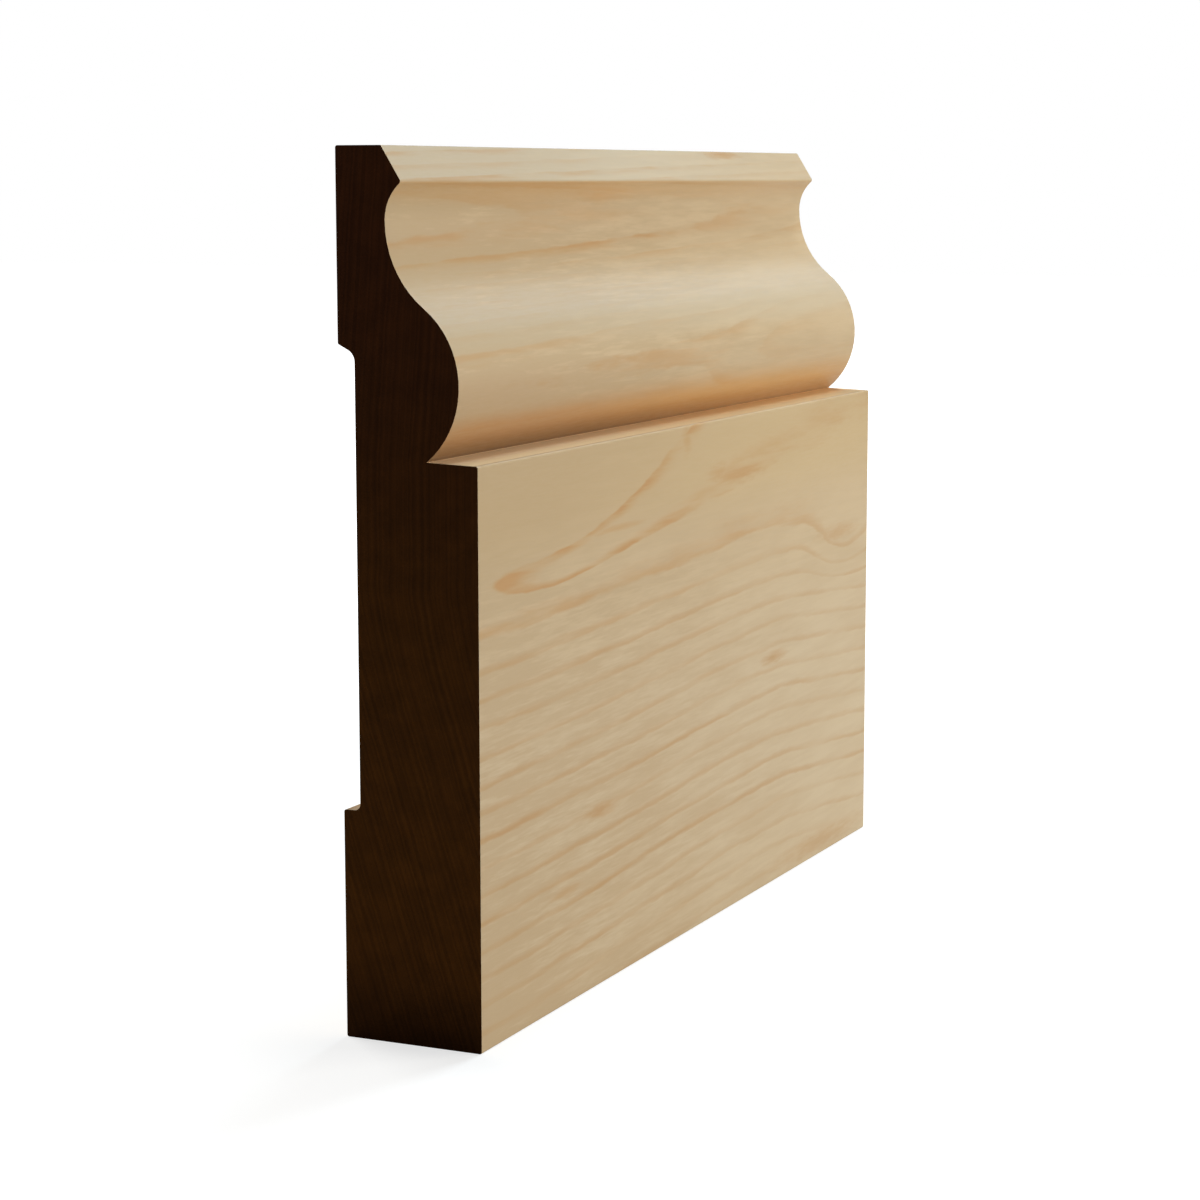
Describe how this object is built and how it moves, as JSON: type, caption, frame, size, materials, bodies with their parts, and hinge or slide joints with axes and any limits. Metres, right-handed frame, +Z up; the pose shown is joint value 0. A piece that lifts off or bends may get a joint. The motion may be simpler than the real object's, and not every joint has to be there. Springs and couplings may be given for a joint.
{
  "type": "skirting board length",
  "caption": "Short length of solid maple ogee skirting: bevelled nose, cove and bead over a flat face, with a relief groove along the back and square-cut ends.",
  "frame": {"origin": "middle of the bottom edge that stands on the floor: half way along the length and half way through the thickness", "axes": "+X along the length, -Y out of the moulded face into the room, +Y out of the back towards the wall, +Z up"},
  "size_m": [0.1524, 0.0206, 0.1207],
  "materials": {
    "maple": "planed and lightly sanded, unfinished; darker end grain on the two sawn ends"
  },
  "bodies": {
    "root": {"skirting_board": "maple"}
  },
  "joints": []
}
